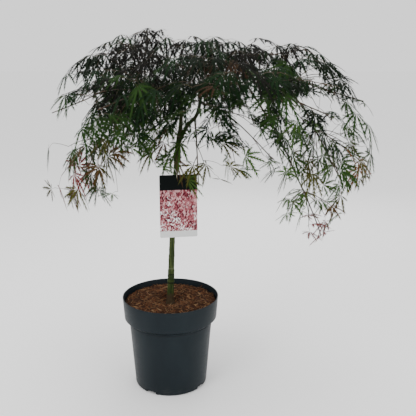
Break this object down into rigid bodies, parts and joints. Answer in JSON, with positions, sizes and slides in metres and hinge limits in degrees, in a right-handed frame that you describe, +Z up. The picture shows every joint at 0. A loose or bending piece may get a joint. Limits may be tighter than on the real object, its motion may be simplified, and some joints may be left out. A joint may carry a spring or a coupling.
{
  "type": "potted weeping japanese maple",
  "caption": "Grafted weeping maple on a straight stem in a round nursery pot, with drooping cut-leaf foliage, bark mulch and a hanging plant tag.",
  "frame": {"origin": "on the pot's axis, on the pot's flat underside, which stands on the floor", "axes": "+Z up the plant; -Y is the side that the plant tag faces; the crown leans towards +X"},
  "size_m": [1.0269, 0.8328, 1.1519],
  "materials": {
    "pot": "semi-matt moulded plastic, near-black blue-grey",
    "mulch": "shredded bark",
    "bark": "smooth young bark, olive green, brown at the foot",
    "leaves": "matt leaves, dark green with purple and bronze tints",
    "tag": "printed card with a satin film",
    "tie": "thin pale elastic loop"
  },
  "bodies": {
    "root": {"pot": "pot", "bark_mulch": "mulch", "trunk": "bark", "leader": "bark", "side_bough": "bark", "bough_crest_left": "bark", "bough_crest_centre": "bark", "bough_crest_right": "bark", "bough_shoulder_left": "bark", "bough_skirt_left": "bark", "bough_under_left": "bark", "bough_shoulder_right": "bark", "bough_skirt_right": "bark", "bough_tail_right": "bark", "bough_under_right": "bark", "bough_front_left": "bark", "bough_front_centre": "bark", "bough_front_right": "bark", "bough_back_left": "bark", "bough_back_centre": "bark", "bough_back_right": "bark", "bough_pendant": "bark", "crest_left": "leaves", "crest_centre": "leaves", "crest_right": "leaves", "shoulder_left": "leaves", "skirt_left": "leaves", "under_left": "leaves", "shoulder_right": "leaves", "skirt_right": "leaves", "tail_right": "leaves", "under_right": "leaves", "front_left": "leaves", "front_centre": "leaves", "front_right": "leaves", "back_left": "leaves", "back_centre": "leaves", "back_right": "leaves", "pendant": "leaves", "plant_tag": "tag", "tag_tie": "tie"}
  },
  "joints": []
}
